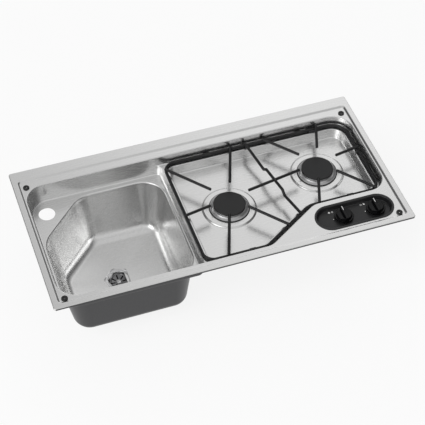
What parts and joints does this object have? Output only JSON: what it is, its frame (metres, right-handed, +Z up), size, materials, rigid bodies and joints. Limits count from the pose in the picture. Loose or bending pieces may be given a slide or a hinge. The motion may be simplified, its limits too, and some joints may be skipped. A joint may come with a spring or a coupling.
{
  "type": "combination sink and gas hob unit",
  "caption": "Stainless drop-in kitchenette unit with a deep corner-cut sink bowl, a sunken gas hob with a wire pan support, and a black panel with push-and-turn knobs.",
  "frame": {"origin": "midway between the four corner fixing holes, on the worktop plane that the rim and its seal rest on", "axes": "+X to the right along the long side, +Y to the back, +Z up"},
  "size_m": [0.86, 0.43, 0.258],
  "materials": {
    "stainless_sheet": "satin brushed",
    "foam_seal": "foam, matt",
    "black_rubber": "matt",
    "waste_steel": "polished",
    "black_plastic": "moulded, matt",
    "panel_plastic": "fine grain, satin",
    "zinc_screws": "bright zinc",
    "tap_metal": "as forged",
    "brass": "machined",
    "spindle_steel": "ground",
    "knob_plastic": "satin gloss",
    "pipe_metal": "drawn tube",
    "cast_aluminium": "die cast",
    "burner_aluminium": "turned",
    "gasket_black": "graphite, matt",
    "black_enamel": "vitreous enamel, satin",
    "probe_steel": "polished",
    "copper": "copper capillary, drawn",
    "black_wire": "black enamel"
  },
  "bodies": {
    "unit": {"top_pressing": "stainless_sheet", "sink_bowl": "stainless_sheet", "rim_seal": "foam_seal", "corner_grommets": "black_rubber", "waste_flange": "waste_steel", "waste_gasket": "black_rubber", "waste_body": "black_plastic", "waste_screw": "waste_steel", "control_panel": "panel_plastic", "tap_screws": "zinc_screws", "tap_1": "tap_metal", "tap_2": "tap_metal", "gas_rail": "pipe_metal", "gas_inlet": "brass", "burner_pipe_1": "pipe_metal", "burner_pipe_2": "pipe_metal", "pipe_nuts": "brass", "burner_cup_1": "cast_aluminium", "burner_cup_2": "cast_aluminium", "injector_1": "brass", "injector_2": "brass", "burner_gasket_1": "gasket_black", "burner_gasket_2": "gasket_black", "burner_base_1": "burner_aluminium", "burner_base_2": "burner_aluminium", "burner_screws_1": "zinc_screws", "burner_screws_2": "zinc_screws", "thermocouple_1": "probe_steel", "thermocouple_2": "probe_steel", "probe_lead_1": "copper", "probe_lead_2": "copper", "pan_support_clip": "black_plastic"},
    "push_rod_1": {"push_rod_1": "brass"},
    "push_rod_2": {"push_rod_2": "brass"},
    "knob_1": {"spindle_1": "spindle_steel", "knob_1": "knob_plastic"},
    "knob_2": {"spindle_2": "spindle_steel", "knob_2": "knob_plastic"},
    "crown_1": {"burner_crown_1": "burner_aluminium"},
    "crown_2": {"burner_crown_2": "burner_aluminium"},
    "cap_1": {"burner_cap_1": "black_enamel"},
    "cap_2": {"burner_cap_2": "black_enamel"},
    "pan_support": {"pan_support": "black_wire", "pan_support_feet": "black_rubber"}
  },
  "joints": [
    {"name": "knob_1_push", "type": "slide", "parent": "unit", "child": "push_rod_1", "axis": [0, 0, -1], "range_m": [0, 0.0035], "stiffness_N_per_m": 900, "springref_m": -0.004},
    {"name": "knob_1_turn", "type": "hinge", "parent": "push_rod_1", "child": "knob_1", "pos_m": [0.276, -0.14, -0.008], "axis": [0, 0, 1], "range_deg": [0, 210]},
    {"name": "knob_2_push", "type": "slide", "parent": "unit", "child": "push_rod_2", "axis": [0, 0, -1], "range_m": [0, 0.0035], "stiffness_N_per_m": 900, "springref_m": -0.004},
    {"name": "knob_2_turn", "type": "hinge", "parent": "push_rod_2", "child": "knob_2", "pos_m": [0.356, -0.14, -0.008], "axis": [0, 0, 1], "range_deg": [0, 210]},
    {"name": "crown_1_lift", "type": "slide", "parent": "unit", "child": "crown_1", "axis": [0, 0, 1], "range_m": [0, 0.03]},
    {"name": "cap_1_lift", "type": "slide", "parent": "crown_1", "child": "cap_1", "axis": [0, 0, 1], "range_m": [0, 0.03]},
    {"name": "crown_2_lift", "type": "slide", "parent": "unit", "child": "crown_2", "axis": [0, 0, 1], "range_m": [0, 0.03]},
    {"name": "cap_2_lift", "type": "slide", "parent": "crown_2", "child": "cap_2", "axis": [0, 0, 1], "range_m": [0, 0.03]},
    {"name": "pan_support_lift", "type": "slide", "parent": "unit", "child": "pan_support", "axis": [0, 0, 1], "range_m": [0, 0.12]}
  ]
}
